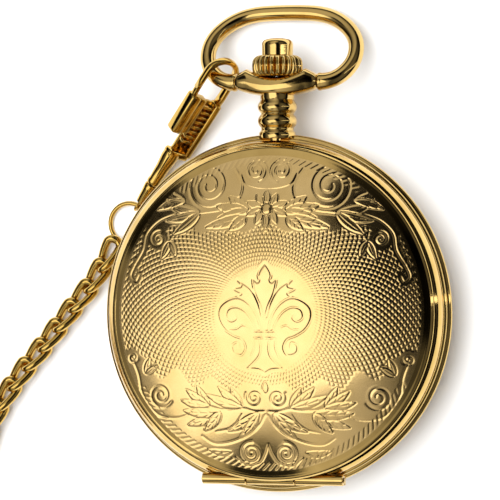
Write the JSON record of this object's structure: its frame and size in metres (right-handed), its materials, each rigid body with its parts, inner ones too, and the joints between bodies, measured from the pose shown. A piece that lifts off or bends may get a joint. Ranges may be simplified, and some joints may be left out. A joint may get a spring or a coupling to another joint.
{
  "type": "pocket watch",
  "caption": "Full-hunter pocket watch with engraved hinged lid, crown with push button, swinging bow, swivel clasp and curb chain.",
  "frame": {"origin": "centre of the flat land on the back cover, which the watch rests on", "axes": "+Z out of the front lid, +Y towards the crown at 12 o'clock, +X to 3 o'clock"},
  "size_m": [0.1104, 0.0847, 0.0134],
  "materials": {
    "polished_gold": "polished",
    "chain_gold": "polished",
    "enamel": "gloss",
    "blued_steel": "polished",
    "clear_glass": "clear",
    "gilt_plate": "frosted",
    "wheel_brass": "satin",
    "steel": "polished",
    "ruby": "gloss"
  },
  "bodies": {
    "case": {"mid_case": "polished_gold", "back_cover": "polished_gold", "dust_cover": "polished_gold", "pendant_tube": "polished_gold", "bow_collar": "polished_gold", "hinge_pin": "polished_gold", "crystal_bezel": "polished_gold", "crystal": "clear_glass", "dial": "enamel", "dial_markers": "blued_steel", "main_plate": "gilt_plate", "barrel_bridge": "gilt_plate", "train_bridge": "gilt_plate", "balance_cock": "gilt_plate", "pallet_bridge": "gilt_plate", "jewels": "ruby", "movement_screws": "blued_steel", "click": "steel", "click_spring": "steel", "lid_spring": "steel", "lid_catch": "steel", "stem_sleeve": "steel", "chain_run": "chain_gold", "chain_coil": "chain_gold", "t_bar": "chain_gold", "t_bar_ring": "chain_gold"},
    "lid": {"front_lid": "polished_gold"},
    "bow_loop": {"bow": "polished_gold"},
    "clasp": {"clasp_body": "chain_gold"},
    "slide": {"clasp_slide": "chain_gold"},
    "swivel": {"swivel_eye": "chain_gold", "jump_ring": "chain_gold"},
    "winding": {"winding_pinion": "steel", "clutch_wheel": "steel"},
    "crown_unit": {"crown": "polished_gold", "winding_stem": "steel"},
    "button": {"push_button": "polished_gold"},
    "minute": {"center_wheel": "wheel_brass", "center_arbor": "steel", "cannon_pinion": "steel", "minute_hand": "blued_steel"},
    "motion_wheel": {"minute_wheel": "wheel_brass"},
    "hour": {"hour_wheel": "wheel_brass", "hour_hand": "blued_steel"},
    "third": {"third_wheel": "wheel_brass"},
    "fourth": {"fourth_wheel": "wheel_brass", "seconds_hand": "blued_steel"},
    "escape": {"escape_wheel": "wheel_brass"},
    "pallet": {"pallet_fork": "steel"},
    "balance": {"balance_wheel": "wheel_brass", "balance_staff": "steel", "hairspring": "blued_steel"},
    "barrel": {"barrel_drum": "wheel_brass", "mainspring": "steel"},
    "ratchet": {"barrel_arbor": "steel", "ratchet_wheel": "steel"},
    "crown_gear": {"crown_wheel": "steel"}
  },
  "joints": [
    {"name": "lid_hinge", "type": "hinge", "parent": "case", "child": "lid", "pos_m": [0, -0.0222, 0.0086], "axis": [1, 0, 0], "range_deg": [0, 100]},
    {"name": "bow_swing", "type": "hinge", "parent": "case", "child": "bow_loop", "pos_m": [0, 0.031, 0.0065], "axis": [1, 0, 0], "range_deg": [-60, 30]},
    {"name": "clasp_sway", "type": "hinge", "parent": "bow_loop", "child": "clasp", "pos_m": [-0.00815, 0.03205, 0.00593], "axis": [1, 0, 0], "range_deg": [-30, 60]},
    {"name": "clasp_slide", "type": "slide", "parent": "clasp", "child": "slide", "axis": [-0.5864, -0.7782, -0.225], "range_m": [0, 0.0026], "stiffness_N_per_m": 150},
    {"name": "swivel_turn", "type": "hinge", "parent": "clasp", "child": "swivel", "pos_m": [-0.01953, 0.01686, 0.00146], "axis": [-0.5864, -0.7782, -0.225], "range_deg": [-30, 30]},
    {"name": "crown_turn", "type": "hinge", "parent": "case", "child": "winding", "pos_m": [0, 0.015, 0.0065], "axis": [0, 1, 0], "continuous": true},
    {"name": "crown_pull", "type": "slide", "parent": "winding", "child": "crown_unit", "axis": [0, 1, 0], "range_m": [0, 0.001]},
    {"name": "button_push", "type": "slide", "parent": "crown_unit", "child": "button", "axis": [0, -1, 0], "range_m": [0, 0.0006], "stiffness_N_per_m": 300},
    {"name": "minute_turn", "type": "hinge", "parent": "case", "child": "minute", "pos_m": [0, 0, 0.006], "axis": [0, 0, -1], "continuous": true},
    {"name": "motion_turn", "type": "hinge", "parent": "case", "child": "motion_wheel", "pos_m": [0.003, 0, 0.007], "axis": [0, 0, -1], "continuous": true},
    {"name": "hour_turn", "type": "hinge", "parent": "case", "child": "hour", "pos_m": [0, 0, 0.0075], "axis": [0, 0, -1], "continuous": true},
    {"name": "third_turn", "type": "hinge", "parent": "case", "child": "third", "pos_m": [0.00527, -0.00491, 0.0045], "axis": [0, 0, -1], "continuous": true},
    {"name": "fourth_turn", "type": "hinge", "parent": "case", "child": "fourth", "pos_m": [0, -0.0085, 0.005], "axis": [0, 0, -1], "continuous": true},
    {"name": "escape_turn", "type": "hinge", "parent": "case", "child": "escape", "pos_m": [-0.0049, -0.01047, 0.0046], "axis": [0, 0, -1], "continuous": true},
    {"name": "barrel_turn", "type": "hinge", "parent": "case", "child": "barrel", "pos_m": [-0.003, 0.00785, 0.0048], "axis": [0, 0, -1], "continuous": true},
    {"name": "pallet_rock", "type": "hinge", "parent": "case", "child": "pallet", "pos_m": [-0.00675, -0.00798, 0.0046], "axis": [0, 0, 1], "range_deg": [-5, 5]},
    {"name": "balance_swing", "type": "hinge", "parent": "case", "child": "balance", "pos_m": [-0.0108, -0.0025, 0.0042], "axis": [0, 0, 1], "range_deg": [-135, 135], "stiffness_Nm_per_rad": 0.00002},
    {"name": "ratchet_turn", "type": "hinge", "parent": "case", "child": "ratchet", "pos_m": [-0.003, 0.00785, 0.003], "axis": [0, 0, -1], "continuous": true},
    {"name": "crown_wheel_turn", "type": "hinge", "parent": "case", "child": "crown_gear", "pos_m": [0.0044, 0.01031, 0.003], "axis": [0, 0, -1], "continuous": true}
  ],
  "couplings": [
    {"joint": "clasp_sway", "follows": "bow_swing", "ratio": -1},
    {"joint": "motion_turn", "follows": "minute_turn", "ratio": -0.33333},
    {"joint": "hour_turn", "follows": "minute_turn", "ratio": 0.083333},
    {"joint": "third_turn", "follows": "minute_turn", "ratio": -8},
    {"joint": "fourth_turn", "follows": "minute_turn", "ratio": 60},
    {"joint": "escape_turn", "follows": "minute_turn", "ratio": -600},
    {"joint": "barrel_turn", "follows": "minute_turn", "ratio": -0.16667},
    {"joint": "crown_wheel_turn", "follows": "crown_turn", "ratio": 0.33333},
    {"joint": "ratchet_turn", "follows": "crown_turn", "ratio": -0.20833}
  ]
}
